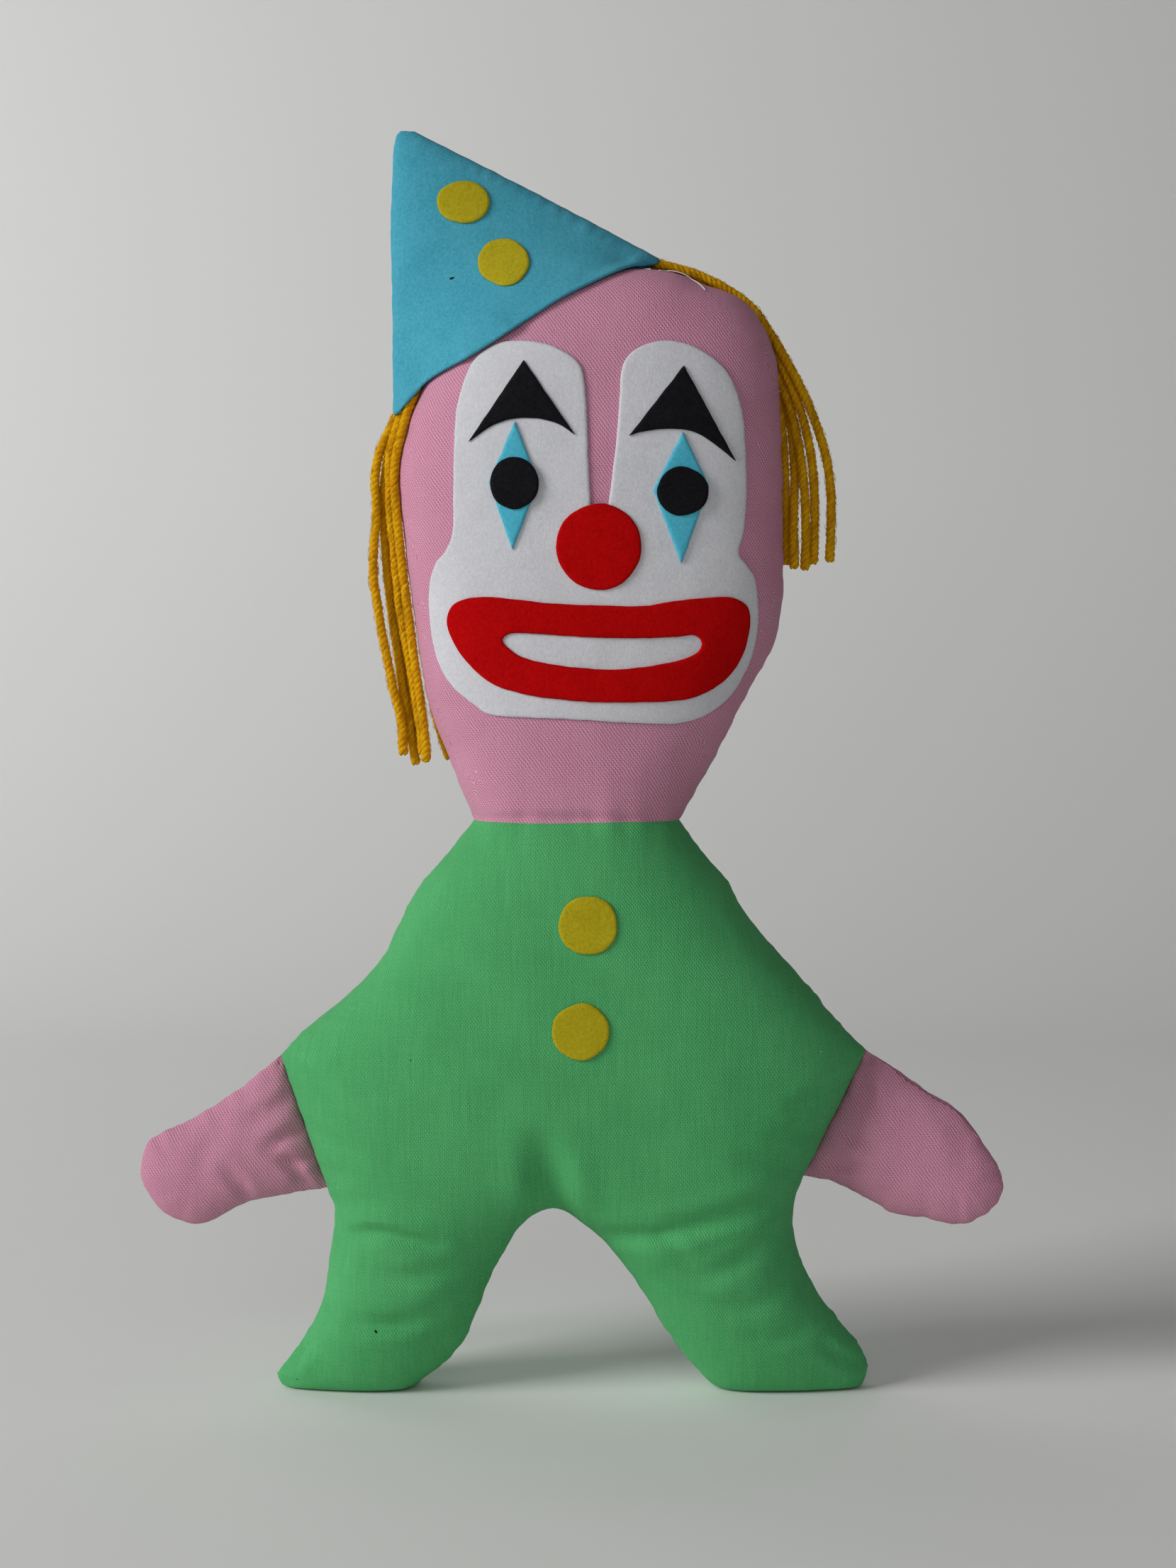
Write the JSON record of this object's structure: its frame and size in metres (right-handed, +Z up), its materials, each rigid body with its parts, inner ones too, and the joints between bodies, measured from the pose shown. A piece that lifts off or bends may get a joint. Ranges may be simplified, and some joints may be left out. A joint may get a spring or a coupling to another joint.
{
  "type": "stuffed clown doll",
  "caption": "Flat-sewn stuffed clown doll with a pointed felt hat, felt face, yarn hair, mitt arms and short legs.",
  "frame": {"origin": "on the floor, midway between the mitts and midway between the front and the back of the body", "axes": "+Z up through the hat, -Y the way the face looks, +X the doll's own left"},
  "size_m": [0.3265, 0.0768, 0.4766],
  "materials": {
    "pink_cotton": "matte twill weave",
    "green_cotton": "matte plain weave",
    "white_felt": "matte felt",
    "black_felt": "matte felt",
    "blue_felt": "matte felt",
    "red_felt": "matte felt",
    "yellow_felt": "matte felt",
    "yarn": "plied acrylic or wool yarn",
    "filling": "loose fibre"
  },
  "bodies": {
    "torso": {"torso_front_panel": "green_cotton", "torso_back_panel": "green_cotton", "torso_stuffing": "filling", "button_upper": "yellow_felt", "button_lower": "yellow_felt"},
    "head": {"head_front_panel": "pink_cotton", "head_back_panel": "pink_cotton", "head_stuffing": "filling", "face_mask": "white_felt", "mouth": "red_felt", "nose": "red_felt", "brow_right": "black_felt", "brow_left": "black_felt", "eye_diamond_right": "blue_felt", "eye_diamond_left": "blue_felt", "pupil_right": "black_felt", "pupil_left": "black_felt", "hat_front": "blue_felt", "hat_back": "blue_felt", "hat_spot_upper": "yellow_felt", "hat_spot_lower": "yellow_felt"},
    "right_arm": {"arm_right_front_panel": "pink_cotton", "arm_right_back_panel": "pink_cotton", "arm_right_stuffing": "filling"},
    "left_arm": {"arm_left_front_panel": "pink_cotton", "arm_left_back_panel": "pink_cotton", "arm_left_stuffing": "filling"},
    "right_leg": {"leg_right_front_panel": "green_cotton", "leg_right_back_panel": "green_cotton", "leg_right_stuffing": "filling"},
    "left_leg": {"leg_left_front_panel": "green_cotton", "leg_left_back_panel": "green_cotton", "leg_left_stuffing": "filling"},
    "right_hair": {"hair_right_1": "yarn", "hair_right_2": "yarn", "hair_right_3": "yarn", "hair_right_4": "yarn", "hair_right_5": "yarn", "hair_right_6": "yarn"},
    "left_hair": {"hair_left_1": "yarn", "hair_left_2": "yarn", "hair_left_3": "yarn", "hair_left_4": "yarn", "hair_left_5": "yarn"}
  },
  "joints": [
    {"name": "neck_nod", "type": "hinge", "parent": "torso", "child": "head", "pos_m": [0.002, 0, 0.2155], "axis": [1, 0, 0], "range_deg": [-30, 35], "stiffness_Nm_per_rad": 0.6},
    {"name": "arm_right_swing", "type": "hinge", "parent": "torso", "child": "right_arm", "pos_m": [-0.1015, 0, 0.10075], "axis": [-0.3358, 0, 0.942], "range_deg": [-50, 50], "stiffness_Nm_per_rad": 0.02},
    {"name": "arm_left_swing", "type": "hinge", "parent": "torso", "child": "left_arm", "pos_m": [0.1, 0, 0.104], "axis": [-0.4472, 0, -0.8944], "range_deg": [-50, 50], "stiffness_Nm_per_rad": 0.02},
    {"name": "hip_right_bend", "type": "hinge", "parent": "torso", "child": "right_leg", "pos_m": [-0.0545, 0, 0.062], "axis": [-1, 0, 0], "range_deg": [-10, 45], "stiffness_Nm_per_rad": 1.2},
    {"name": "hip_left_bend", "type": "hinge", "parent": "torso", "child": "left_leg", "pos_m": [0.0445, 0, 0.062], "axis": [-1, 0, 0], "range_deg": [-10, 45], "stiffness_Nm_per_rad": 1.2},
    {"name": "hair_right_swing", "type": "hinge", "parent": "head", "child": "right_hair", "pos_m": [-0.0648, 0, 0.3689], "axis": [0, 1, 0], "range_deg": [0, 60]},
    {"name": "hair_left_swing", "type": "hinge", "parent": "head", "child": "left_hair", "pos_m": [0.0349, 0, 0.4272], "axis": [0, -1, 0], "range_deg": [0, 60]}
  ]
}
